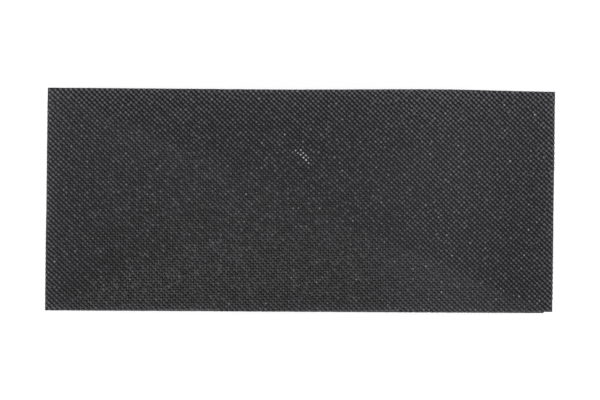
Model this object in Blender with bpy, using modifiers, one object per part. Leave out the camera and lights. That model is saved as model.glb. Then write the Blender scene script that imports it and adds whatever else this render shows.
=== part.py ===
"""Laminated hook-and-loop hand sanding block, lying on its flat back with the hook face up.

Metres, +Z up. The origin is the centre of the flat back, +X runs along the block, and the
layers are stacked upwards from the back to the hook face.
"""

import math

import bmesh
import bpy
from mathutils import Matrix

# Driving dimensions, in metres.
FACE_LENGTH = 0.160
FACE_WIDTH = 0.070
BACK_LAYER_THICKNESS = 0.014
FRONT_LAYER_THICKNESS = 0.012
GLUE_THICKNESS = 0.0002
BOARD_THICKNESS = 0.002
BOARD_INSET = 0.0005  # the rigid board stops short of the foam all round, so it can't dig in
PAD_THICKNESS = 0.005
HOOK_ADHESIVE_THICKNESS = 0.00015
HOOK_SHEET_THICKNESS = 0.0012  # the web and the hooks that stand on it
LAYER_GAP = 0.00005  # between neighbouring layers
BACK_EDGE_RADIUS = 0.004
GROOVE_RADIUS = 0.010  # finger groove, rolled out of both long sides
GROOVE_DEPTH = 0.005

# Fineness of the round shapes.
GROOVE_SEGMENTS = 96
BACK_EDGE_SEGMENTS = 8
CUTTER_OVERRUN = 0.005  # how far a groove cutter runs past each end of the block
SHARP_ANGLE = math.radians(35.0)  # edges over this stay sharp in the smooth shading

OBJECT_NAME = "sanding_block"


def clear_scene():
    """Remove whatever objects the file holds."""
    for item in list(bpy.data.objects):
        bpy.data.objects.remove(item, do_unlink=True)


def new_collection(name):
    """A collection linked to the scene."""
    collection = bpy.data.collections.new(name)
    bpy.context.scene.collection.children.link(collection)
    return collection


def principled(name, colour, roughness):
    """A non-metal Principled material."""
    material = bpy.data.materials.new(name)
    material.use_nodes = True
    shader = material.node_tree.nodes["Principled BSDF"]
    shader.inputs["Base Color"].default_value = (*colour, 1.0)
    shader.inputs["Roughness"].default_value = roughness
    shader.inputs["Metallic"].default_value = 0.0
    material.diffuse_color = (*colour, 1.0)
    return material


def grip_foam_material(name):
    """Firm black EVA foam."""
    return principled(name, (0.030, 0.030, 0.032), 0.85)


def pad_foam_material(name):
    """Soft dark grey foam."""
    return principled(name, (0.075, 0.077, 0.082), 0.90)


def board_material(name):
    """Grey rigid plastic."""
    return principled(name, (0.28, 0.28, 0.27), 0.45)


def glue_material(name):
    """Set contact glue, yellowish."""
    return principled(name, (0.38, 0.30, 0.17), 0.40)


def adhesive_material(name):
    """Clear pressure-sensitive adhesive over a dark pad."""
    return principled(name, (0.12, 0.11, 0.10), 0.30)


def hook_material(name):
    """Black moulded plastic."""
    return principled(name, (0.035, 0.034, 0.036), 0.50)


def slab_mesh(name, length, width, thickness):
    """A box centred on its own origin."""
    shape = bmesh.new()
    bmesh.ops.create_cube(shape, size=1.0, matrix=Matrix.Diagonal((length, width, thickness, 1.0)))
    mesh = bpy.data.meshes.new(name)
    shape.to_mesh(mesh)
    shape.free()
    return mesh


def add_slab(name, thickness, bottom, material, parent, collection, inset=0.0):
    """One flat layer of the stack, whose underside is at height bottom."""
    mesh = slab_mesh(name, FACE_LENGTH - 2 * inset, FACE_WIDTH - 2 * inset, thickness)
    mesh.materials.append(material)
    layer = bpy.data.objects.new(name, mesh)
    layer.location = (0.0, 0.0, bottom + thickness / 2)
    layer.parent = parent
    collection.objects.link(layer)
    return layer


def round_lower_edges(layer, radius):
    """Round the four edges round the layer's underside."""
    shape = bmesh.new()
    shape.from_mesh(layer.data)
    weight = shape.edges.layers.float.new("bevel_weight_edge")
    for edge in shape.edges:
        edge[weight] = 1.0 if all(corner.co.z < 0.0 for corner in edge.verts) else 0.0
    shape.to_mesh(layer.data)
    shape.free()
    bevel = layer.modifiers.new("rounded_back", "BEVEL")
    bevel.limit_method = "WEIGHT"
    bevel.width = radius
    bevel.segments = BACK_EDGE_SEGMENTS


def add_groove_cutter(name, side, height, collection):
    """A round bar that rolls a finger groove out of one long side, +1 or -1 in Y."""
    shape = bmesh.new()
    bmesh.ops.create_cone(
        shape,
        cap_ends=True,
        segments=GROOVE_SEGMENTS,
        radius1=GROOVE_RADIUS,
        radius2=GROOVE_RADIUS,
        depth=FACE_LENGTH + 2 * CUTTER_OVERRUN,
        matrix=Matrix.Rotation(math.radians(90.0), 4, "Y"),
    )
    mesh = bpy.data.meshes.new(name)
    shape.to_mesh(mesh)
    shape.free()
    mesh.shade_smooth()
    mesh.set_sharp_from_angle(angle=SHARP_ANGLE)
    cutter = bpy.data.objects.new(name, mesh)
    cutter.location = (0.0, side * (FACE_WIDTH / 2 - GROOVE_DEPTH + GROOVE_RADIUS), height)
    cutter.hide_render = True
    cutter.display_type = "WIRE"
    collection.objects.link(cutter)
    return cutter


def cut_away(layer, cutters):
    """Cut the finger grooves out of a layer."""
    for cutter in cutters:
        cut = layer.modifiers.new(cutter.name, "BOOLEAN")
        cut.operation = "DIFFERENCE"
        cut.solver = "EXACT"
        cut.object = cutter


def build():
    """Stack the layers from the back to the hook face."""
    clear_scene()
    parts = new_collection(OBJECT_NAME)
    cutters = new_collection(OBJECT_NAME + "_cutters")
    root = bpy.data.objects.new(OBJECT_NAME + "_root", None)
    parts.objects.link(root)

    # Grip: two foam sheets and the glue line between them.
    back_material = grip_foam_material("grip_back_foam")
    back_layer = add_slab("grip_back_layer", BACK_LAYER_THICKNESS, 0.0, back_material, root, parts)
    round_lower_edges(back_layer, BACK_EDGE_RADIUS)
    top = BACK_LAYER_THICKNESS + LAYER_GAP
    grip_glue = add_slab("grip_glue_film", GLUE_THICKNESS, top, glue_material("grip_glue"), root, parts)
    groove_height = top + GLUE_THICKNESS / 2
    top += GLUE_THICKNESS + LAYER_GAP
    front_material = grip_foam_material("grip_front_foam")
    front_layer = add_slab("grip_front_layer", FRONT_LAYER_THICKNESS, top, front_material, root, parts)
    top += FRONT_LAYER_THICKNESS + LAYER_GAP

    # Stiffener board, with a glue line on each face.
    add_slab("board_glue_film", GLUE_THICKNESS, top, glue_material("board_glue"), root, parts, BOARD_INSET)
    top += GLUE_THICKNESS + LAYER_GAP
    rigid = board_material("board_plastic")
    add_slab("stiffener_board", BOARD_THICKNESS, top, rigid, root, parts, BOARD_INSET)
    top += BOARD_THICKNESS + LAYER_GAP
    add_slab("pad_glue_film", GLUE_THICKNESS, top, glue_material("pad_glue"), root, parts, BOARD_INSET)
    top += GLUE_THICKNESS + LAYER_GAP

    # Soft pad, and the self-adhesive hook sheet on it.
    add_slab("face_pad", PAD_THICKNESS, top, pad_foam_material("pad_foam"), root, parts)
    top += PAD_THICKNESS + LAYER_GAP
    sticky = adhesive_material("hook_adhesive")
    add_slab("hook_adhesive_film", HOOK_ADHESIVE_THICKNESS, top, sticky, root, parts)
    top += HOOK_ADHESIVE_THICKNESS + LAYER_GAP
    add_slab("hook_sheet", HOOK_SHEET_THICKNESS, top, hook_material("hook_plastic"), root, parts)

    # Finger grooves along both long sides, centred on the grip's glue line.
    bars = [
        add_groove_cutter("groove_cutter_left", 1, groove_height, cutters),
        add_groove_cutter("groove_cutter_right", -1, groove_height, cutters),
    ]
    for layer in (back_layer, grip_glue, front_layer):
        cut_away(layer, bars)


build()
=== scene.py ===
"""Looks of the laminated hook-and-loop hand sanding block, face up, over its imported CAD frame.

Metres, +Z up. Every layer of the stack gets its own detailed mesh in place of its plain CAD
solid. All layers share one slightly untrue outline, because the real stack is trimmed in one go.
"""
import math

import bmesh
import bpy
import numpy as np
from mathutils import Matrix, Vector, noise


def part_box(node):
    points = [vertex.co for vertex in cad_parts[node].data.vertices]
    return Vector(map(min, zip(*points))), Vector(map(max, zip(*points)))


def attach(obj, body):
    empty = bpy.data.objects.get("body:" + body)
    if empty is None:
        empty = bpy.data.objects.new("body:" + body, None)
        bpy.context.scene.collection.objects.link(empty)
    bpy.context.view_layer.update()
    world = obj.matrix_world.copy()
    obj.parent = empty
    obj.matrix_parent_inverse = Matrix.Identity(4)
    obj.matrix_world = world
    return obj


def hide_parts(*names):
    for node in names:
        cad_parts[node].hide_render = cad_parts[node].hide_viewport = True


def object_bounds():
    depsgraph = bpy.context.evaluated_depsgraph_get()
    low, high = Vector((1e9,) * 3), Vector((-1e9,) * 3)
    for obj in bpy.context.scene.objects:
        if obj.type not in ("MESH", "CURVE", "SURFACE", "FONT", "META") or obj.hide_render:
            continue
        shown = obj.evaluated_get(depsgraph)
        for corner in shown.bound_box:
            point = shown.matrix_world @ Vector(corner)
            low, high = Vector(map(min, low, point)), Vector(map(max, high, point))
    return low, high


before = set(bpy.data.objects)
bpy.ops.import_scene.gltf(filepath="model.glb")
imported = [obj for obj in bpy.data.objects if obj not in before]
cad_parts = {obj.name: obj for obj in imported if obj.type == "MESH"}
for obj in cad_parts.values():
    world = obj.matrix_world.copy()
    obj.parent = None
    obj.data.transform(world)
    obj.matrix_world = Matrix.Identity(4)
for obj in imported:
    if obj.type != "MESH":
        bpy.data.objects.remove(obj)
cad_low, cad_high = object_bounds()

MM = 0.001

# ---------------------------------------------------------------- sizes taken from the frame
HALF_LENGTH = cad_high.x
HALF_WIDTH = cad_high.y
FACE_HEIGHT = cad_high.z
GROOVE_CENTRE = (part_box("grip_glue_film")[0][2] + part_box("grip_glue_film")[1][2]) / 2

# ---------------------------------------------------------------- the trimmed outline
END_LEAN = 0.0056  # the short ends are cut 0.3 degrees out of square
BULGE = 0.50 * MM  # the +Y long edge stands this far proud of straight
BULGE_AT = 43.0 * MM  # along X
BULGE_SPREAD_BACK = 33.0 * MM  # how far it reaches towards -X
BULGE_SPREAD_ON = 24.0 * MM  # and towards +X
NICK = 0.38 * MM  # missing from the -Y edge at its +X end
NICK_LENGTH = 2.6 * MM

# ---------------------------------------------------------------- hook face
WEB_THICKNESS = 0.35 * MM
WEB_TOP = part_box("hook_sheet")[0][2] + WEB_THICKNESS
HOOK_HEIGHT = FACE_HEIGHT - WEB_TOP
HOOK_ROOT = 0.04 * MM  # how deep the hooks reach into their web
PITCH_X = 1.6364 * MM  # of the rectangular cell, which has a hook at its centre too
PITCH_Y = 1.6105 * MM
LATTICE_TURN = math.radians(0.825)  # the sheet wasn't laid quite square to the cut
ROW_TURN = math.radians(-45.0) + LATTICE_TURN  # of the rows that the hooks stand in
HOOK_SIDES = 8
SHOULDER_POINT = 4 * HOOK_SIDES  # first point of the cap's shoulder, the fifth ring of a hook
CROWN_POINT = 5 * HOOK_SIDES
CAP_LONG = 0.54 * MM  # half the length of a cap, along its row
CAP_WIDE = 0.485 * MM  # half its width
CAP_SHOULDER = 0.59  # where the cap's flank turns into its top, as a share of its width
CAP_CROWN = 0.78  # height of that turn, as a share of the hook's
CAP_UNDERSIDE = 0.43  # height of the cap's widest place
STEM_RADIUS = 0.15 * MM
RIB_HEIGHT = 0.33  # of the low rib that each row stands on, as a share of the hook's
RIB_TOP = 0.12 * MM  # half the width of the rib's top
RIB_FOOT = 0.22 * MM  # and of its foot
HOOK_GROUPS = 4

# Every hook leans a little along and across its row. Spreads are standard deviations.
LEAN_ALONG = math.radians(2.7)
LEAN_ACROSS = math.radians(2.5)
LEAN_SPREAD = 9.0  # degrees
SPIN_SPREAD = 6.0  # degrees
ASKEW_SHARE = 0.05  # of all hooks
ASKEW_GAIN = 3.0  # how much further those lean
GIRTH = 0.97  # as a share of the cap sizes above
GIRTH_SPREAD = 0.08
RISE = 0.985  # as a share of the full height
RISE_SPREAD = 0.02
TONE = 0.18  # how pale the plastic is, from 0 to 1
TONE_SPREAD = 0.34
PAINTED_LIGHT_TONE_SLOPE = 0.12  # painted light: paler from the middle to the +Y edge
PAINTED_CROWN_HIGHLIGHT = 0.035  # mean painted highlight on a crown
PAINTED_CROWN_HIGHLIGHT_MOST = 0.25
PAINTED_GLINT_SHARE = (0.003, 0.015)  # painted glints: share of the hooks with one at the -X end, and how much is added towards +X

# The scuff: a short streak of bent and whitened hooks, each by an amount of its own.
SCUFF_AT = (0.9 * MM, 14.2 * MM)
SCUFF_ANGLE = math.radians(-30.0)
SCUFF_LONG = 3.4 * MM  # half its length
SCUFF_WIDE = 1.5 * MM  # half its width
SCUFF_LEAN = math.radians(24.0)
SCUFF_WAY = (0.7, -0.7)  # the way they are bent, along X and Y
SCUFF_FLATTENS = 0.15  # share of their height that is lost

# Painted light: how much paler the hooks are painted towards the edges, the +Y side, in a band across X
# and towards the +X end, from 0 to 1.
PAINTED_EDGE_LIGHT = (  # axis (0 is X and 1 is Y), side, depth in millimetres, how much
    (0, -1, 2.5, 0.55),
    (0, -1, 9.0, 0.18),
    (0, 1, 2.5, 0.65),
    (1, -1, 1.5, 0.42),
    (1, 1, 2.5, 0.50),
    (1, 1, 18.0, 0.14),
)
PAINTED_LIGHT_SLOPE = 0.11  # how much is added from the -Y edge to the middle, and again to the +Y edge
PALE_BAND = 0.24
PALE_BAND_AT = 43.0 * MM  # along X
PALE_BAND_WIDTH = 19.0 * MM
PALE_END = 0.15
PALE_END_FROM = 30.0 * MM  # along X
PALE_END_FULL = 60.0 * MM

# ---------------------------------------------------------------- foam
GROOVE_RADIUS = 10.0 * MM
GROOVE_DEPTH = 5.0 * MM
LIP_SOFTNESS = 0.5 * MM
BACK_EDGE_RADIUS = 4.0 * MM
GRIP_CORNER = 0.7 * MM
GRIP_CELL = 0.42 * MM
GRIP_DARK = (0.028, 0.028, 0.030)
GRIP_LIGHT = (0.050, 0.050, 0.053)
PAD_CELL = 0.65 * MM
PAD_DARK = (0.050, 0.051, 0.055)
PAD_LIGHT = (0.085, 0.087, 0.092)
PAD_WAIST = 0.22 * MM  # how far the middle of the pad's side pulls in
FOAM_CLOUDS = 55.0  # features a metre, as in the next four
FOAM_STREAKS = 1500.0
FOAM_BURST_CELLS = 330.0
FOAM_DUST = 1500.0
FOAM_WEAR_PATCHES = 420.0

# ---------------------------------------------------------------- mesh
SIDE_STEP = 0.5 * MM  # between the points of a layer's side
PAD_STEP = 0.33 * MM
BACK_RINGS = 14  # of the flat back's mesh

# ---------------------------------------------------------------- studio
# Distances and sizes are in metres, the lamps' powers in watts.
AMBIENT = 0.65
OVERHEAD = (0.45, 0.45, 0.46)  # what is left of the ambient light straight above
WHITE = (1.0, 1.0, 1.0)
COOL_WHITE = (0.96, 0.98, 1.0)
KEY_AZIMUTH = 238.2  # degrees anticlockwise from +X, as for the fill
KEY_ELEVATION = 56.0
KEY_DISTANCE = 3.0  # far off, so that its light lies evenly on the face
KEY_SIZE = 0.75
KEY_POWER = 80.0
FILL_AZIMUTH = 20.0
FILL_ELEVATION = 50.0
FILL_DISTANCE = 1.1
FILL_SIZE = 0.8
FILL_POWER = 1.8
FLOOR_WASH = 2.8  # watts to the square metre
FLOOR_WASH_ANGLE = math.radians(8.0)
FLOOR_SIZE = 6.0
FLOOR_GREY = 0.86
CAMERA_DISTANCE = 0.70
VIEW_WIDTH = 188.9 * MM  # what the frame spans at the face
CAMERA_TILT = math.radians(1.7)  # the -X end is a little nearer
CAMERA_ROLL = math.radians(0.405)
CAMERA_AIM = (-0.30 * MM, 0.24 * MM)  # the block isn't quite in the middle of the view


def smooth_step(low, high, value):
    """0 below low, 1 above high, and a smooth rise between them."""
    t = np.clip((value - low) / (high - low), 0.0, 1.0)
    return t * t * (3.0 - 2.0 * t)


# ================================================================ the outline
def edge_bulge(x, y):
    """How far a point is moved in Y by the +Y edge's bulge, fading out away from that edge."""
    spread = np.where(x < BULGE_AT, BULGE_SPREAD_BACK, BULGE_SPREAD_ON)
    reach = np.clip(y / HALF_WIDTH, 0.0, 1.0) ** 3
    return BULGE * reach * np.exp(-(((x - BULGE_AT) / spread) ** 2))


def trimmed(points):
    """Points of the ideal block, moved to where the hand-trimmed block has them."""
    x, y = points[:, 0], points[:, 1]
    nick = smooth_step(HALF_LENGTH - NICK_LENGTH - 0.3 * MM, HALF_LENGTH - NICK_LENGTH, x)
    at_edge = np.clip(-y / HALF_WIDTH, 0.0, 1.0) ** 60
    out = points.copy()
    out[:, 0] = x + END_LEAN * y
    out[:, 1] = y + edge_bulge(x, y) + NICK * nick * at_edge
    return out


def untrimmed(x, y):
    """Where in the ideal block a point of the trimmed block is."""
    ideal_x = x - END_LEAN * y
    return ideal_x, y - edge_bulge(ideal_x, y)


# ================================================================ mesh helpers
def new_object(name, points, faces, material):
    """A mesh object from lists of points and faces."""
    mesh = bpy.data.meshes.new(name)
    mesh.from_pydata(points.tolist(), [], faces)
    mesh.materials.append(material)
    mesh.shade_smooth()
    mesh.set_sharp_from_angle(angle=math.radians(50.0))
    item = bpy.data.objects.new(name, mesh)
    bpy.context.scene.collection.objects.link(item)
    return item


def set_attribute(item, name, values):
    """One number for each of an object's points, which its material reads."""
    layer = item.data.attributes.new(name, "FLOAT", "POINT")
    layer.data.foreach_set("value", np.asarray(values, np.float32))


def stands_for(item, node):
    """Put a finished piece in the place of its CAD node."""
    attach(item, "root")
    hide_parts(node)


# ================================================================ materials
class Shader:
    """A Principled material, and the few node shapes that the materials here are made from."""

    MIX_COLOURS = (6, 7)  # places of a mix node's two colour inputs, and of its colour output
    MIX_RESULT = 2

    def __init__(self, name, roughness=0.5, **sockets):
        self.material = bpy.data.materials.new(name)
        self.material.use_nodes = True
        self.tree = self.material.node_tree
        self.bsdf = self.tree.nodes["Principled BSDF"]
        self.bsdf.inputs["Roughness"].default_value = roughness
        for socket, value in sockets.items():
            self.bsdf.inputs[socket.replace("_", " ")].default_value = value
        self.place = self.node("ShaderNodeTexCoord").outputs["Object"]

    def node(self, kind, **settings):
        made = self.tree.nodes.new(kind)
        for name, value in settings.items():
            setattr(made, name, value)
        return made

    def link(self, source, target):
        self.tree.links.new(source, target)

    def noise(self, scale, detail=4.0, roughness=0.55, stretch=None):
        """Noise of that many features a metre, from about 0.3 to 0.7."""
        made = self.node("ShaderNodeTexNoise")
        made.inputs["Scale"].default_value = scale
        made.inputs["Detail"].default_value = detail
        made.inputs["Roughness"].default_value = roughness
        self.link(self.stretched(stretch), made.inputs["Vector"])
        return made.outputs["Fac"]

    def cells(self, scale):
        """Distance to the nearest centre of that many cells a metre."""
        made = self.node("ShaderNodeTexVoronoi")
        made.inputs["Scale"].default_value = scale
        self.link(self.place, made.inputs["Vector"])
        return made.outputs["Distance"]

    def stretched(self, stretch):
        """The place, scaled along each axis."""
        if stretch is None:
            return self.place
        scaled = self.node("ShaderNodeMapping")
        scaled.inputs["Scale"].default_value = stretch
        self.link(self.place, scaled.inputs["Vector"])
        return scaled.outputs["Vector"]

    def attribute(self, name):
        return self.node("ShaderNodeAttribute", attribute_name=name).outputs["Fac"]

    def ranged(self, source, low, high, to_low=0.0, to_high=1.0):
        """source from low..high to to_low..to_high, held at both ends."""
        made = self.node("ShaderNodeMapRange")
        sockets = ("From Min", "From Max", "To Min", "To Max")
        for socket, value in zip(sockets, (low, high, to_low, to_high)):
            made.inputs[socket].default_value = value
        self.link(source, made.inputs["Value"])
        return made.outputs["Result"]

    def maths(self, operation, a, b):
        made = self.node("ShaderNodeMath", operation=operation)
        for socket, value in zip(made.inputs, (a, b)):
            if isinstance(value, (int, float)):
                socket.default_value = value
            else:
                self.link(value, socket)
        return made.outputs["Value"]

    def mixed(self, factor, a, b):
        """Colour a where factor is 0 and b where it is 1. Both may be a colour or a socket."""
        made = self.node("ShaderNodeMix", data_type="RGBA")
        self.link(factor, made.inputs["Factor"])
        for index, value in zip(self.MIX_COLOURS, (a, b)):
            if isinstance(value, tuple):
                made.inputs[index].default_value = (*value, 1.0)
            else:
                self.link(value, made.inputs[index])
        return made.outputs[self.MIX_RESULT]

    def finish(self, colour=None, roughness=None, height=None, relief=0.1 * MM, strength=1.0):
        if colour is not None:
            self.link(colour, self.bsdf.inputs["Base Color"])
        if roughness is not None:
            self.link(roughness, self.bsdf.inputs["Roughness"])
        if height is not None:
            bump = self.node("ShaderNodeBump")
            bump.inputs["Strength"].default_value = strength
            bump.inputs["Distance"].default_value = relief
            self.link(height, bump.inputs["Height"])
            self.link(bump.outputs["Normal"], self.bsdf.inputs["Normal"])
        return self.material


def hook_plastic():
    """Black moulded plastic, each hook a little different, with painted light that makes it paler
    towards the edges, the +Y side and the +X end, painted glints and crown highlights, and whitened
    where it was bent.
    """
    s = Shader("hook_plastic", roughness=0.6, Specular_IOR_Level=0.35)
    patches = s.ranged(s.noise(45.0, detail=3.0), 0.35, 0.65)
    dark = s.mixed(patches, (0.0155, 0.0139, 0.0153), (0.0187, 0.0169, 0.0186))
    # random tone of each hook, plus painted light that pales it towards +Y
    varied = s.mixed(s.attribute("tone_and_painted_slope"), dark, (0.0615, 0.0568, 0.0612))
    # painted light: paler towards the edges, the +Y side and the +X end, slightly bluish
    with_painted_light = s.mixed(s.attribute("painted_light"), varied, (0.080, 0.0765, 0.0855))
    # real whitening of bent hooks, plus painted glints and painted crown highlights
    colour = s.mixed(s.attribute("whitening_and_painted_glints"), with_painted_light, (0.80, 0.80, 0.81))
    grain = s.noise(9000.0, detail=2.0)
    rough = s.ranged(grain, 0.3, 0.7, 0.50, 0.74)
    return s.finish(colour, rough, grain, relief=0.02 * MM, strength=0.6)


def web_plastic():
    """The same plastic between the hooks, painted far darker than the hooks as the shade that falls
    between them, and dusty in its low places.
    """
    s = Shader("hook_web_plastic", roughness=0.6)
    dust = s.ranged(s.noise(1400.0, detail=5.0), 0.42, 0.75)
    # painted shade: several times darker than the hook plastic; the dust lifts it a little
    colour = s.mixed(dust, (0.004, 0.0039, 0.0041), (0.016, 0.0155, 0.016))
    grain = s.noise(5000.0, detail=3.0)
    return s.finish(colour, s.ranged(grain, 0.3, 0.7, 0.45, 0.75), grain, relief=0.03 * MM)


def clear_adhesive():
    """Edge of an acrylic adhesive film."""
    s = Shader("hook_adhesive", roughness=0.25)
    colour = s.mixed(s.ranged(s.noise(900.0), 0.35, 0.65), (0.07, 0.065, 0.058), (0.16, 0.15, 0.13))
    rough = s.ranged(s.noise(2500.0), 0.3, 0.7, 0.15, 0.4)
    return s.finish(colour, rough, s.noise(1800.0), relief=0.04 * MM)


def lighter(colour, gain, lift):
    """A paler version of a colour."""
    return tuple(min(1.0, gain * channel + lift) for channel in colour)


def foam(name, dark, light, cell_size, roughness):
    """Cut closed-cell foam: cells and their walls, with painted shade in the cells' hollows and in the
    burst cells, knife streaks, scuffs and dust.
    """
    s = Shader(name, roughness=roughness)
    cells = s.cells(1.0 / cell_size)
    walls = s.ranged(cells, 0.15, 0.75)
    fine = s.cells(2.7 / cell_size)
    cloud = s.ranged(s.noise(FOAM_CLOUDS, detail=6.0, roughness=0.65), 0.34, 0.66)
    streaks = s.ranged(s.noise(FOAM_STREAKS, detail=3.0, stretch=(0.02, 0.02, 1.0)), 0.36, 0.64)
    mottle = s.maths("ADD", s.maths("MULTIPLY", cloud, 0.6), s.maths("MULTIPLY", streaks, 0.4))
    base = s.mixed(mottle, dark, light)
    # painted shade: darker towards the middle of each cut cell's hollow
    painted_cell_shade = s.mixed(walls, lighter(dark, 0.45, 0.0), base)
    burst = s.ranged(s.cells(FOAM_BURST_CELLS), 0.10, 0.17)
    # painted shade: the burst cells' holes are darker still
    painted_hole_shade = s.mixed(burst, lighter(dark, 0.30, 0.0), painted_cell_shade)
    dust = s.ranged(s.noise(FOAM_DUST, detail=6.0, roughness=0.7), 0.62, 0.80, 0.0, 0.35)
    dusty = s.mixed(dust, painted_hole_shade, lighter(light, 2.4, 0.02))
    patchy = s.ranged(s.noise(FOAM_WEAR_PATCHES, detail=7.0, roughness=0.7), 0.44, 0.66)
    worn = s.maths("MULTIPLY", s.attribute("wear"), patchy)
    colour = s.mixed(worn, dusty, lighter(light, 2.0, 0.02))
    height = s.maths("ADD", s.maths("MULTIPLY", walls, 0.7), s.maths("MULTIPLY", fine, 0.5))
    height = s.maths("ADD", height, s.maths("MULTIPLY", burst, 1.6))
    height = s.maths("ADD", height, s.maths("MULTIPLY", streaks, 0.5))
    rough = s.ranged(s.noise(600.0), 0.3, 0.7, roughness - 0.08, min(1.0, roughness + 0.06))
    return s.finish(colour, rough, height, relief=0.12 * MM, strength=0.8)


def set_glue():
    """Set contact glue: amber, uneven, half glossy."""
    s = Shader("set_glue", roughness=0.35)
    depth = s.ranged(s.noise(350.0, detail=5.0), 0.35, 0.65)
    colour = s.mixed(depth, (0.20, 0.145, 0.070), (0.42, 0.33, 0.18))
    rough = s.ranged(s.noise(1200.0), 0.3, 0.7, 0.25, 0.55)
    return s.finish(colour, rough, s.noise(2200.0), relief=0.06 * MM)


def board_plastic():
    """Sawn edge of a rigid grey plastic board."""
    s = Shader("board_plastic", roughness=0.45)
    marks = s.noise(1800.0, detail=3.0, stretch=(1.0, 1.0, 0.08))
    cloud = s.noise(60.0, detail=4.0)
    base = s.mixed(s.ranged(cloud, 0.35, 0.65), (0.13, 0.13, 0.127), (0.17, 0.17, 0.165))
    colour = s.mixed(s.ranged(marks, 0.55, 0.75, 0.0, 0.6), base, (0.25, 0.25, 0.245))
    return s.finish(colour, s.ranged(marks, 0.3, 0.7, 0.35, 0.65), marks, relief=0.06 * MM)


# ================================================================ the stack
def unit_ring(columns_x, columns_y):
    """Points round a square from -1 to 1, evenly spaced along each side, anticlockwise."""
    along_x = np.linspace(-1.0, 1.0, columns_x, endpoint=False)
    along_y = np.linspace(-1.0, 1.0, columns_y, endpoint=False)
    one_x, one_y = np.ones(columns_x), np.ones(columns_y)
    sides = [
        np.stack([along_x, -one_x], 1),
        np.stack([one_y, along_y], 1),
        np.stack([-along_x, one_x], 1),
        np.stack([-one_y, -along_y], 1),
    ]
    return np.concatenate(sides)


def ring_points(ring, half_x, half_y, corner):
    """The ring at a size, its four corners rounded."""
    flat = ring * (half_x, half_y)
    centre = np.sign(flat) * (np.array([half_x, half_y]) - corner)
    reach = (np.abs(flat) - np.abs(centre)).clip(0.0)
    length = np.hypot(*reach.T)
    both = (reach > 0).all(axis=1)
    flat[both] = centre[both] + (np.sign(flat) * reach)[both] * (corner / length[both])[:, None]
    return flat


def ring_normals(ring):
    """Outward directions of the ring's points: straight out of a side, diagonal at a corner."""
    out = np.where(np.abs(ring) > 1.0 - 1e-9, np.sign(ring), 0.0)
    return out / np.hypot(*out.T)[:, None]


def side_normals(profile, outward):
    """Outward directions of every ring's points, leaning with the profile."""
    normals = []
    for inset_x, inset_y, rise in np.gradient(np.array(profile), axis=0):
        long_side = np.array([rise, inset_y]) / max(math.hypot(rise, inset_y), 1e-12)
        short_side = np.array([rise, inset_x]) / max(math.hypot(rise, inset_x), 1e-12)
        share = np.abs(outward[:, :1])
        lean = share * short_side + (1.0 - share) * long_side
        normals.append(np.column_stack([outward * lean[:, :1], lean[:, 1]]))
    return np.concatenate(normals)


def loft(name, profile, spacing, corner, material, shape, floor_rings=0):
    """A closed slab. profile is a list of (inset_x, inset_y, height) from its underside's rim to its
    upper side's. shape(points, normals) gives how far each side point moves outwards."""
    columns_x = round(2 * HALF_LENGTH / spacing)
    columns_y = round(2 * HALF_WIDTH / spacing)
    ring = unit_ring(columns_x, columns_y)
    count = len(ring)
    outward = ring_normals(ring)
    rows = []
    for inset_x, inset_y, height in profile:
        flat = ring_points(ring, HALF_LENGTH - inset_x, HALF_WIDTH - inset_y, corner)
        rows.append(np.column_stack([flat, np.full(count, height)]))
    sides = np.concatenate(rows)
    normals = side_normals(profile, outward)
    sides = sides + normals * shape(sides, normals)[:, None]
    points = [sides]
    faces = []

    def join(lower, upper):
        a = lower + np.arange(count)
        b = lower + (np.arange(count) + 1) % count
        faces.extend(np.stack([a, b, b + upper - lower, a + upper - lower], 1).tolist())

    for row in range(len(profile) - 1):
        join(row * count, (row + 1) * count)
    total = len(sides)
    # Underside: rings that shrink to a point, so that a visible flat has an even mesh.
    rim = sides[:count]
    previous = 0
    for shrink in np.linspace(1.0, 0.0, floor_rings + 2)[1:-1]:
        points.append(rim * (shrink, shrink, 1.0))
        join(total, previous)
        previous = total
        total += count
    middle = rim.mean(axis=0)
    points.append([middle * (0.0, 0.0, 1.0)])
    faces.extend([previous + (k + 1) % count, previous + k, total] for k in range(count))
    total += 1
    # Upper side, which the next layer covers.
    top = (len(profile) - 1) * count
    middle = sides[top : top + count].mean(axis=0)
    points.append([middle * (0.0, 0.0, 1.0)])
    faces.extend([top + k, top + (k + 1) % count, total] for k in range(count))
    return new_object(name, trimmed(np.concatenate(points)), faces, material), sides


def even_profile(outline, step):
    """A finely sampled outline (inset_x, inset_y, height), resampled to even steps along its length."""
    outline = np.array(outline)
    length = np.concatenate([[0.0], np.cumsum(np.linalg.norm(np.diff(outline[:, 1:], axis=0), axis=1))])
    count = max(2, round(length[-1] / step) + 1)
    at = np.linspace(0.0, length[-1], count)
    return np.stack([np.interp(at, length, column) for column in outline.T], 1)


def groove_insets(heights):
    """How deep the finger groove is at each height, its lips softened."""
    off = np.abs(heights - GROOVE_CENTRE)
    raw = np.sqrt(np.maximum(GROOVE_RADIUS**2 - off**2, 0.0)) - (GROOVE_RADIUS - GROOVE_DEPTH)
    return 0.5 * (raw + np.hypot(raw, LIP_SOFTNESS))


def noise_at(points, scale, seed):
    """Noise from about -1 to 1, of that many features a metre."""
    shift = Vector((seed * 13.7, seed * 5.1, seed * 9.3))
    return np.array([noise.noise(Vector(p) * scale + shift) for p in points.tolist()])


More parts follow.
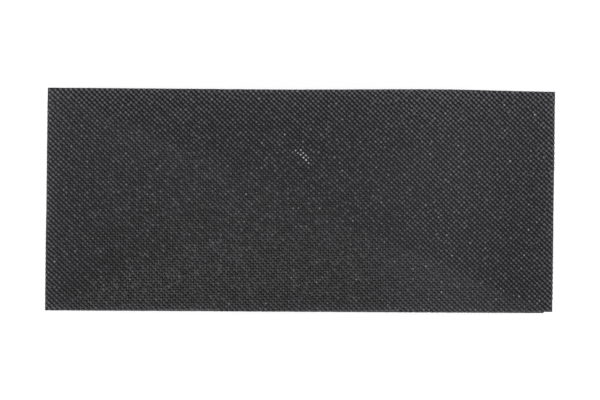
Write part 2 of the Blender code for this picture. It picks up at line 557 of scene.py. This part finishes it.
def foam_surface(seed):
    """Unevenness of a cut foam side: slow waves, small dents, and router chatter in the groove."""

    def shape(points, normals):
        slow = 0.10 * MM * noise_at(points, 60.0, seed)
        small = 0.05 * MM * noise_at(points, 420.0, seed + 1)
        pits = -0.10 * MM * smooth_step(0.25, 0.6, noise_at(points, 900.0, seed + 2))
        in_groove = smooth_step(9.0 * MM, 7.0 * MM, np.abs(points[:, 2] - GROOVE_CENTRE))
        on_long_side = np.abs(normals[:, 1]) > np.abs(normals[:, 0])
        ripple = np.sin(points[:, 0] / (0.55 * MM) + 1.5 * noise_at(points, 90.0, seed + 3))
        return slow + small + pits + 0.02 * MM * ripple * in_groove * on_long_side

    return shape


def foam_wear(item, sides):
    """How worn each point is: the lips and mouths of the groove, and the upright corners."""
    x, y, z = sides.T
    from_corner = np.hypot(HALF_LENGTH - np.abs(x), HALF_WIDTH - np.abs(y))
    corner = np.exp(-from_corner / (1.0 * MM))
    chord = math.sqrt(GROOVE_RADIUS**2 - (GROOVE_RADIUS - GROOVE_DEPTH) ** 2)
    lip = np.exp(-(((np.abs(z - GROOVE_CENTRE) - chord) / (0.6 * MM)) ** 2))
    on_long_side = smooth_step(0.6 * MM, 0.2 * MM, HALF_WIDTH - np.abs(y))
    groove_mouth = smooth_step(2.0 * MM, 0.5 * MM, HALF_LENGTH - np.abs(x))
    groove_mouth *= smooth_step(-0.2 * MM, 0.3 * MM, chord - np.abs(z - GROOVE_CENTRE))
    groove_mouth *= np.exp(-np.abs(HALF_WIDTH - np.abs(y) - groove_insets(z)) / (0.6 * MM))
    wear = np.zeros(len(item.data.vertices))
    wear[: len(sides)] = np.maximum(np.maximum(corner, 0.8 * lip * on_long_side), 0.7 * groove_mouth)
    set_attribute(item, "wear", wear)


def grip_back():
    """Back half of the grip: flat back, rounded edges, lower half of the grooves."""
    low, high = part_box("grip_back_layer")
    outline = []
    for angle in np.linspace(0.0, math.pi / 2, 30):
        inset = BACK_EDGE_RADIUS * (1.0 - math.sin(angle))
        outline.append((inset, inset, low[2] + BACK_EDGE_RADIUS * (1.0 - math.cos(angle))))
    for height in np.linspace(low[2] + BACK_EDGE_RADIUS, high[2], 300)[1:]:
        inset = float(groove_insets(height))
        outline.append((0.0, inset, height))
    profile = even_profile(outline, SIDE_STEP)
    material = foam("grip_foam_back", GRIP_DARK, GRIP_LIGHT, GRIP_CELL, roughness=0.88)
    surface = foam_surface(seed=3)

    def shape(points, normals):
        return surface(points, normals) * smooth_step(0.0, 1.5 * MM, points[:, 2] - low[2])

    item, sides = loft("grip_back", profile, SIDE_STEP, GRIP_CORNER, material, shape, BACK_RINGS)
    foam_wear(item, sides)
    stands_for(item, "grip_back_layer")


def grip_front():
    """Front half of the grip: upper half of the grooves, square edge under the board."""
    low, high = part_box("grip_front_layer")
    outline = []
    for height in np.linspace(low[2], high[2], 300):
        inset = float(groove_insets(height))
        outline.append((0.0, inset, height))
    profile = even_profile(outline, SIDE_STEP)
    material = foam("grip_foam_front", GRIP_DARK, GRIP_LIGHT, GRIP_CELL, roughness=0.88)
    item, sides = loft("grip_front", profile, SIDE_STEP, GRIP_CORNER, material, foam_surface(seed=11))
    foam_wear(item, sides)
    stands_for(item, "grip_front_layer")


def pad():
    """Soft pad: its cut sides pull in a little between the board and the hook sheet."""
    low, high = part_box("face_pad")
    middle, half = (low[2] + high[2]) / 2, (high[2] - low[2]) / 2
    outline = []
    for height in np.linspace(low[2], high[2], 60):
        inset = PAD_WAIST * (1.0 - ((height - middle) / half) ** 2)
        outline.append((inset, inset, height))
    profile = even_profile(outline, PAD_STEP)
    material = foam("pad_foam", PAD_DARK, PAD_LIGHT, PAD_CELL, roughness=0.92)

    def shape(points, normals):
        waves = 0.08 * MM * noise_at(points, 80.0, 21)
        cells = noise_at(points, 1250.0, 22)
        pits = -0.16 * MM * smooth_step(0.10, 0.55, cells)
        free = smooth_step(0.0, 0.6 * MM, half - np.abs(points[:, 2] - middle))
        return waves * free + pits * free

    item, sides = loft("pad", profile, PAD_STEP, 0.25 * MM, material, shape)
    set_attribute(item, "wear", np.zeros(len(item.data.vertices)))
    stands_for(item, "face_pad")


def board():
    """Rigid board, sawn to size before gluing, so it stops short of the foam."""
    low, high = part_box("stiffener_board")
    inset = HALF_LENGTH - high[0]
    bevel = 0.12 * MM
    between = np.linspace(low[2] + 0.5 * MM, high[2] - 0.5 * MM, 4)
    profile = [(inset + bevel, inset + bevel, low[2])]
    profile += [(inset, inset, height) for height in (low[2] + bevel, *between, high[2] - bevel)]
    profile += [(inset + bevel, inset + bevel, high[2])]

    def shape(points, normals):
        saw = 0.025 * MM * noise_at(points * (1.0, 1.0, 0.1), 1500.0, 31)
        return saw + 0.03 * MM * noise_at(points, 90.0, 32)

    item, _ = loft("board", profile, SIDE_STEP, 0.5 * MM, board_plastic(), shape)
    stands_for(item, "stiffener_board")


def glue_line(name, node, inset_x, inset_y, seed, material):
    """Glue squeezed unevenly out of a joint."""
    low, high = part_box(node)
    bead = 0.10 * MM
    profile = [
        (inset_x + bead, inset_y + bead, low[2]),
        (inset_x, inset_y, (low[2] + high[2]) / 2),
        (inset_x + bead, inset_y + bead, high[2]),
    ]

    def shape(points, normals):
        return 0.22 * MM * noise_at(points, 320.0, seed) + 0.12 * MM * noise_at(points, 60.0, seed + 1)

    item, _ = loft(name, profile, SIDE_STEP, 0.5 * MM, material, shape)
    stands_for(item, node)


# ================================================================ hook face
def hook_template():
    """One moulded hook at the origin, its row along X: a stem and an oval cap."""
    # The cap's flank bulges a little between its widest place and its shoulder.
    between = 0.35 * CAP_UNDERSIDE + 0.65 * CAP_CROWN
    swell = 0.35 + 0.69 * CAP_SHOULDER
    stem_top = CAP_UNDERSIDE - 0.08
    profile = [
        (STEM_RADIUS, STEM_RADIUS, -HOOK_ROOT),
        (STEM_RADIUS, STEM_RADIUS, stem_top * HOOK_HEIGHT),
        (CAP_LONG, CAP_WIDE, CAP_UNDERSIDE * HOOK_HEIGHT),
        (CAP_LONG * swell, CAP_WIDE * swell, between * HOOK_HEIGHT),
        (CAP_LONG * CAP_SHOULDER, CAP_WIDE * CAP_SHOULDER, CAP_CROWN * HOOK_HEIGHT),
    ]
    angles = 2 * math.pi * (np.arange(HOOK_SIDES) + 0.5) / HOOK_SIDES
    rings = [
        np.column_stack([long * np.cos(angles), wide * np.sin(angles), np.full(HOOK_SIDES, z)])
        for long, wide, z in profile
    ]
    points = np.concatenate([*rings, [[0.0, 0.0, HOOK_HEIGHT]]])
    faces = [list(range(HOOK_SIDES - 1, -1, -1))]
    for ring in range(len(profile) - 1):
        for k in range(HOOK_SIDES):
            a, b = ring * HOOK_SIDES + k, ring * HOOK_SIDES + (k + 1) % HOOK_SIDES
            faces.append([a, b, b + HOOK_SIDES, a + HOOK_SIDES])
    rim = (len(profile) - 1) * HOOK_SIDES
    crown = len(points) - 1
    faces.extend([rim + k, rim + (k + 1) % HOOK_SIDES, crown] for k in range(HOOK_SIDES))
    return points, faces


def rib_template():
    """The stretch of low rib under one hook, its row along X."""
    reach = math.hypot(PITCH_X, PITCH_Y) / 4
    corners = np.array([(-reach, -1.0), (reach, -1.0), (reach, 1.0), (-reach, 1.0)])
    foot = np.column_stack([corners * (1.0, RIB_FOOT), np.full(4, -HOOK_ROOT)])
    ridge = np.column_stack([corners * (1.0, RIB_TOP), np.full(4, RIB_HEIGHT * HOOK_HEIGHT)])
    faces = [[3, 2, 1, 0], [4, 5, 6, 7]]
    faces += [[k, (k + 1) % 4, 4 + (k + 1) % 4, 4 + k] for k in range(4)]
    return np.concatenate([foot, ridge]), faces


def hook_places():
    """Foot of every hook in the ideal block, and its place on the trimmed one."""
    reach = int(1.2 * 2 * HALF_LENGTH / PITCH_X)
    i, j = np.meshgrid(np.arange(-reach, reach + 1), np.arange(-reach, reach + 1), indexing="ij")
    even = (i + j) % 2 == 0
    u, v = i[even] * PITCH_X / 2, j[even] * PITCH_Y / 2
    cos, sin = math.cos(LATTICE_TURN), math.sin(LATTICE_TURN)
    x, y = u * cos - v * sin, u * sin + v * cos
    ideal_x, ideal_y = untrimmed(x, y)
    kept = (np.abs(ideal_x) < HALF_LENGTH) & (np.abs(ideal_y) < HALF_WIDTH)
    nicked = (ideal_x > HALF_LENGTH - NICK_LENGTH) & (ideal_y < NICK - HALF_WIDTH)
    kept &= ~nicked
    return ideal_x[kept], ideal_y[kept], x[kept], y[kept]


def tilt_matrices(lean_x, lean_y, spin):
    """Rotation of each hook: spun about its stem, then leant over."""
    angle = np.hypot(lean_x, lean_y)
    safe = np.where(angle > 1e-9, angle, 1.0)
    ax, ay = -lean_y / safe, lean_x / safe
    c, s = np.cos(angle), np.sin(angle)
    one = 1.0 - c
    lean = np.empty((len(angle), 3, 3))
    lean[:, 0] = np.stack([c + ax * ax * one, ax * ay * one, ay * s], 1)
    lean[:, 1] = np.stack([ax * ay * one, c + ay * ay * one, -ax * s], 1)
    lean[:, 2] = np.stack([-ay * s, ax * s, c], 1)
    turn = np.zeros((len(angle), 3, 3))
    turn[:, 0, 0] = np.cos(spin)
    turn[:, 0, 1] = -np.sin(spin)
    turn[:, 1, 0] = np.sin(spin)
    turn[:, 1, 1] = np.cos(spin)
    turn[:, 2, 2] = 1.0
    return lean @ turn


def scuff_strength(x, y):
    """How scuffed each hook is: a different amount for each one in the streak, and nothing elsewhere."""
    cos, sin = math.cos(SCUFF_ANGLE), math.sin(SCUFF_ANGLE)
    off_x, off_y = x - SCUFF_AT[0], y - SCUFF_AT[1]
    along = (off_x * cos + off_y * sin) / SCUFF_LONG
    across = (off_y * cos - off_x * sin) / SCUFF_WIDE
    inside = np.flatnonzero(np.hypot(along, across) < 1.0)
    strength = np.zeros(len(x))
    strength[inside] = np.random.default_rng(6).uniform(0.1, 1.0, len(inside))
    return strength


def whitening_and_glint_points(strength, side, each):
    """Whitening of every point of every hook, most on one side of the cap's shoulder: real on bent
    hooks, painted glints on the rest.
    """
    count = len(strength)
    points = np.zeros((count, each))
    every = np.arange(count)
    for turn, share in ((-1, 0.35), (0, 1.0), (1, 0.35)):
        points[every, SHOULDER_POINT + (side + turn) % HOOK_SIDES] = share * strength
    points[:, CROWN_POINT] = 0.8 * strength
    return points


def painted_light_amount(x, y):
    """How much painted light lightens the hooks, from 0 to 1: towards every edge, towards the +Y side,
    in a band across X and towards the +X end.
    """
    painted_light = PAINTED_LIGHT_SLOPE * (1.0 + y / HALF_WIDTH)
    for axis, side, depth, amount in PAINTED_EDGE_LIGHT:
        from_edge = (HALF_LENGTH - side * x) if axis == 0 else (HALF_WIDTH - side * y)
        painted_light += amount * np.exp(-from_edge / (depth * MM))
    painted_light += PALE_BAND * np.exp(-(((x - PALE_BAND_AT) / PALE_BAND_WIDTH) ** 2))
    painted_light += PALE_END * smooth_step(PALE_END_FROM, PALE_END_FULL, x)
    return painted_light.clip(0.0, 1.0)


def hook_turns(random, scuffed):
    """Rotation of every hook: nearly along its row, leaning, a few askew, the scuffed ones bent."""
    count = len(scuffed)
    lean = np.radians(random.normal(0.0, LEAN_SPREAD, (count, 2)))
    askew = random.random(count) < ASKEW_SHARE
    lean[askew] *= ASKEW_GAIN
    cos, sin = math.cos(ROW_TURN), math.sin(ROW_TURN)
    lean[:, 0] += LEAN_ALONG * cos - LEAN_ACROSS * sin
    lean[:, 1] += LEAN_ALONG * sin + LEAN_ACROSS * cos
    lean += scuffed[:, None] * SCUFF_LEAN * np.array(SCUFF_WAY)
    spin = ROW_TURN + np.radians(random.normal(0.0, SPIN_SPREAD, count))
    return tilt_matrices(lean[:, 0], lean[:, 1], spin)


def hook_sizes(random, scuffed):
    """Girth and height of every hook, as shares of the template's."""
    count = len(scuffed)
    girth = random.normal(GIRTH, GIRTH_SPREAD, count).clip(0.80, 1.15)
    rise = random.normal(RISE, RISE_SPREAD, count).clip(0.9, 1.0) * (1.0 - SCUFF_FLATTENS * scuffed)
    return np.stack([girth, girth, rise], 1)


def hook_tones(random, x, y, scuffed, each):
    """How pale every hook is, paler towards +Y as painted light, and how whitened each of its points:
    painted glints, the scuff's real whitening and painted crown highlights.
    """
    count = len(x)
    # painted light: the tone rises towards the +Y edge
    tone_and_painted_slope = random.normal(TONE + PAINTED_LIGHT_TONE_SLOPE * y / HALF_WIDTH, TONE_SPREAD).clip(0.0, 1.0)
    towards_end = 0.5 + 0.5 * x / HALF_LENGTH
    fewest, more = PAINTED_GLINT_SHARE
    # painted glints: a few hooks, more of them towards +X
    glinting = random.random(count) < fewest + more * towards_end**1.3
    glint = glinting * (0.11 + 0.27 * random.random(count))
    side = random.integers(HOOK_SIDES, size=count)
    whitening_and_painted_glints = whitening_and_glint_points(np.maximum(glint, scuffed), side, each)
    # painted highlight on every crown
    whitening_and_painted_glints[:, CROWN_POINT] += random.exponential(PAINTED_CROWN_HIGHLIGHT, count).clip(0.0, PAINTED_CROWN_HIGHLIGHT_MOST)
    return tone_and_painted_slope, whitening_and_painted_glints


def placed_hooks(template, rib, turns, sizes, x, y):
    """Points of every hook and of its stretch of rib, in the ideal block."""
    caps = np.einsum("nij,nvj->nvi", turns, template[None] * sizes[:, None, :])
    cos, sin = math.cos(ROW_TURN), math.sin(ROW_TURN)
    row = np.array([[cos, -sin, 0.0], [sin, cos, 0.0], [0.0, 0.0, 1.0]])
    ribs = np.broadcast_to(rib @ row.T, (len(x), *rib.shape))
    shaped = np.concatenate([caps, ribs], axis=1)
    shaped += np.stack([x, y, np.full(len(x), WEB_TOP)], 1)[:, None, :]
    shaped[:, :, 2] = np.minimum(shaped[:, :, 2], FACE_HEIGHT)
    return shaped


def hooks():
    """Every hook of the face as real geometry, in a few groups, the cut ones along the edges apart."""
    random = np.random.default_rng(5)
    template, faces = hook_template()
    rib, rib_faces = rib_template()
    faces += [[len(template) + k for k in face] for face in rib_faces]
    each = len(template) + len(rib)
    feet_x, feet_y, x, y = hook_places()
    scuffed = scuff_strength(x, y)
    turns = hook_turns(random, scuffed)
    sizes = hook_sizes(random, scuffed)
    tone_and_painted_slope, whitening_and_painted_glints = hook_tones(random, feet_x, feet_y, scuffed, each)
    # painted light on each hook
    painted_light = painted_light_amount(feet_x, feet_y)
    shaped = placed_hooks(template, rib, turns, sizes, feet_x, feet_y)

    # The hooks beside the nick go with the cut ones.
    reach = np.abs(shaped[:, :, :2]).max(axis=1)
    near_nick = (feet_x > HALF_LENGTH - NICK_LENGTH - 0.5 * MM) & (feet_y < 1.0 * MM - HALF_WIDTH)
    cut = (reach[:, 0] > HALF_LENGTH) | (reach[:, 1] > HALF_WIDTH) | near_nick
    material = hook_plastic()

    def group(name, members, trim):
        item = hook_group(name, shaped[members], faces, material, trim)
        set_attribute(item, "tone_and_painted_slope", np.repeat(tone_and_painted_slope[members], each))
        set_attribute(item, "painted_light", np.repeat(painted_light[members], each))
        set_attribute(item, "whitening_and_painted_glints", whitening_and_painted_glints[members].ravel())
        return item

    for number, members in enumerate(np.array_split(np.flatnonzero(~cut), HOOK_GROUPS), start=1):
        item = group(f"hooks_{number}", members, trim=True)
        stands_for(item, "hook_sheet")
    item = group("hooks_cut_edge", np.flatnonzero(cut), trim=False)
    cut_through(item)
    stands_for(item, "hook_sheet")


def hook_group(name, shaped, faces, material, trim):
    """Many hooks as one mesh, moved with the trimmed outline if trim is set."""
    count, each = shaped.shape[:2]
    points = shaped.reshape(-1, 3)
    if trim:
        points = trimmed(points)
    starts = np.arange(count) * each
    corners = np.concatenate([np.array(f) for f in faces])
    sizes = np.array([len(f) for f in faces])
    loops = (corners[None, :] + starts[:, None]).ravel()
    totals = np.tile(sizes, count)
    mesh = bpy.data.meshes.new(name)
    mesh.vertices.add(len(points))
    mesh.vertices.foreach_set("co", points.astype(np.float32).ravel())
    mesh.loops.add(len(loops))
    mesh.loops.foreach_set("vertex_index", loops.astype(np.int32))
    mesh.polygons.add(len(totals))
    mesh.polygons.foreach_set("loop_start", (np.cumsum(totals) - totals).astype(np.int32))
    mesh.update(calc_edges=True)
    mesh.validate()
    mesh.materials.append(material)
    mesh.shade_smooth()
    mesh.set_sharp_from_angle(angle=math.radians(60.0))
    item = bpy.data.objects.new(name, mesh)
    bpy.context.scene.collection.objects.link(item)
    return item


def cut_through(item):
    """Cut the outer hooks off flush with the block's sides, as the trimming blade did."""
    shape = bmesh.new()
    shape.from_mesh(item.data)
    planes = [((side * HALF_LENGTH, 0, 0), (side, 0, 0)) for side in (-1, 1)]
    planes += [((0, side * HALF_WIDTH, 0), (0, side, 0)) for side in (-1, 1)]
    for place, outwards in planes:
        everything = shape.verts[:] + shape.edges[:] + shape.faces[:]
        bmesh.ops.bisect_plane(
            shape, geom=everything, dist=1e-7, plane_co=place, plane_no=outwards, clear_outer=True
        )
        rims = [edge for edge in shape.edges if edge.is_boundary]
        bmesh.ops.holes_fill(shape, edges=rims, sides=0)
    shape.to_mesh(item.data)
    shape.free()
    places = np.empty(3 * len(item.data.vertices), np.float32)
    item.data.vertices.foreach_get("co", places)
    places = trimmed(places.reshape(-1, 3).astype(float))
    item.data.vertices.foreach_set("co", places.astype(np.float32).ravel())
    item.data.update()


def hook_web():
    """The sheet that the hooks stand on."""
    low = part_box("hook_sheet")[0][2]
    bevel = 0.05 * MM
    profile = [
        (bevel, bevel, low),
        (0.0, 0.0, low + bevel),
        (0.0, 0.0, WEB_TOP - bevel),
        (bevel, bevel, WEB_TOP),
    ]

    def shape(points, normals):
        return 0.04 * MM * noise_at(points, 500.0, 41)

    item, _ = loft("hook_web", profile, SIDE_STEP, 0.12 * MM, web_plastic(), shape)
    stands_for(item, "hook_sheet")


# ================================================================ studio
def studio_floor():
    """A plain pale floor."""
    bpy.ops.mesh.primitive_plane_add(size=FLOOR_SIZE, location=(0.0, 0.0, cad_low.z - 0.05 * MM))
    floor = bpy.context.object
    floor.name = "studio_floor"
    s = Shader("pale_floor", roughness=0.9)
    s.bsdf.inputs["Base Color"].default_value = (FLOOR_GREY, FLOOR_GREY, FLOOR_GREY, 1.0)
    s.bsdf.inputs["Specular IOR Level"].default_value = 0.2
    floor.data.materials.append(s.material)
    return floor


def studio_world():
    """Dim soft light from all round, dimmer still from straight above, behind a white backdrop."""
    world = bpy.data.worlds.new("studio")
    bpy.context.scene.world = world
    world.use_nodes = True
    tree = world.node_tree
    background = tree.nodes["Background"]
    where = tree.nodes.new("ShaderNodeTexCoord")
    split = tree.nodes.new("ShaderNodeSeparateXYZ")
    ramp = tree.nodes.new("ShaderNodeValToRGB")
    tree.links.new(where.outputs["Generated"], split.inputs["Vector"])
    tree.links.new(split.outputs["Z"], ramp.inputs["Fac"])
    tree.links.new(ramp.outputs["Color"], background.inputs["Color"])
    ramp.color_ramp.elements[0].position = 0.35
    ramp.color_ramp.elements[0].color = (*WHITE, 1.0)
    ramp.color_ramp.elements[1].position = 0.95
    ramp.color_ramp.elements[1].color = (*OVERHEAD, 1.0)
    background.inputs["Strength"].default_value = AMBIENT
    backdrop = tree.nodes.new("ShaderNodeBackground")
    backdrop.inputs["Color"].default_value = (*WHITE, 1.0)
    seen = tree.nodes.new("ShaderNodeLightPath")
    either = tree.nodes.new("ShaderNodeMixShader")
    tree.links.new(seen.outputs["Is Camera Ray"], either.inputs["Fac"])
    tree.links.new(background.outputs["Background"], either.inputs[1])
    tree.links.new(backdrop.outputs["Background"], either.inputs[2])
    tree.links.new(either.outputs["Shader"], tree.nodes["World Output"].inputs["Surface"])


def lights_only(lamp, item, state="INCLUDE"):
    """Make a lamp light nothing but one object, or with EXCLUDE everything but that object."""
    receivers = bpy.data.collections.new(f"{lamp.name}_receivers")
    receivers.objects.link(item)
    lamp.light_linking.receiver_collection = receivers
    receivers.collection_objects[0].light_linking.link_state = state


def studio_light(name, floor, azimuth, elevation, distance, size, power, colour):
    """A soft box aimed at the block, kept off the floor. Azimuth is anticlockwise from +X."""
    data = bpy.data.lights.new(name, "AREA")
    data.shape = "SQUARE"
    data.size = size
    data.energy = power
    data.color = colour
    lamp = bpy.data.objects.new(name, data)
    a, e = math.radians(azimuth), math.radians(elevation)
    towards = Vector((math.cos(a) * math.cos(e), math.sin(a) * math.cos(e), math.sin(e)))
    lamp.location = towards * distance + Vector((0.0, 0.0, FACE_HEIGHT))
    lamp.rotation_euler = towards.to_track_quat("Z", "Y").to_euler()
    bpy.context.scene.collection.objects.link(lamp)
    lights_only(lamp, floor, "EXCLUDE")


def floor_light(floor):
    """Even light straight down on the floor, so that it stays white right up to the block."""
    data = bpy.data.lights.new("floor_wash", "SUN")
    data.energy = FLOOR_WASH
    data.angle = FLOOR_WASH_ANGLE
    lamp = bpy.data.objects.new("floor_wash", data)
    lamp.location = (0.0, 0.0, 2.0)
    bpy.context.scene.collection.objects.link(lamp)
    lights_only(lamp, floor)


def studio_camera():
    """Square above the face, as near as a hand-held camera gets."""
    data = bpy.data.cameras.new("camera")
    camera = bpy.data.objects.new("camera", data)
    bpy.context.scene.collection.objects.link(camera)
    bpy.context.scene.camera = camera
    data.sensor_width = 36.0
    data.lens = data.sensor_width * CAMERA_DISTANCE / VIEW_WIDTH
    data.clip_start = 0.01
    data.clip_end = 20.0
    tilt = Matrix.Rotation(-CAMERA_TILT, 4, "Y")
    roll = Matrix.Rotation(CAMERA_ROLL, 4, "Z")
    back = Matrix.Translation((0.0, 0.0, CAMERA_DISTANCE))
    face = Matrix.Translation((*CAMERA_AIM, FACE_HEIGHT))
    camera.matrix_world = face @ tilt @ roll @ back


def build():
    studio_camera()
    floor = studio_floor()
    studio_world()
    floor_light(floor)
    studio_light("key", floor, KEY_AZIMUTH, KEY_ELEVATION, KEY_DISTANCE, KEY_SIZE, KEY_POWER, WHITE)
    studio_light(
        "fill", floor, FILL_AZIMUTH, FILL_ELEVATION, FILL_DISTANCE, FILL_SIZE, FILL_POWER, COOL_WHITE
    )
    grip_back()
    grip_front()
    glue = set_glue()
    groove_bottom = GROOVE_DEPTH + 0.25 * MM
    glue_line("grip_glue", "grip_glue_film", 0.25 * MM, groove_bottom, 51, glue)
    glue_line("board_glue", "board_glue_film", 0.6 * MM, 0.6 * MM, 53, glue)
    glue_line("pad_glue", "pad_glue_film", 0.6 * MM, 0.6 * MM, 55, glue)
    board()
    pad()
    adhesive = clear_adhesive()
    glue_line("hook_adhesive", "hook_adhesive_film", 0.15 * MM, 0.15 * MM, 57, adhesive)
    hook_web()
    hooks()
    bpy.context.scene.view_settings.view_transform = "Standard"


build()
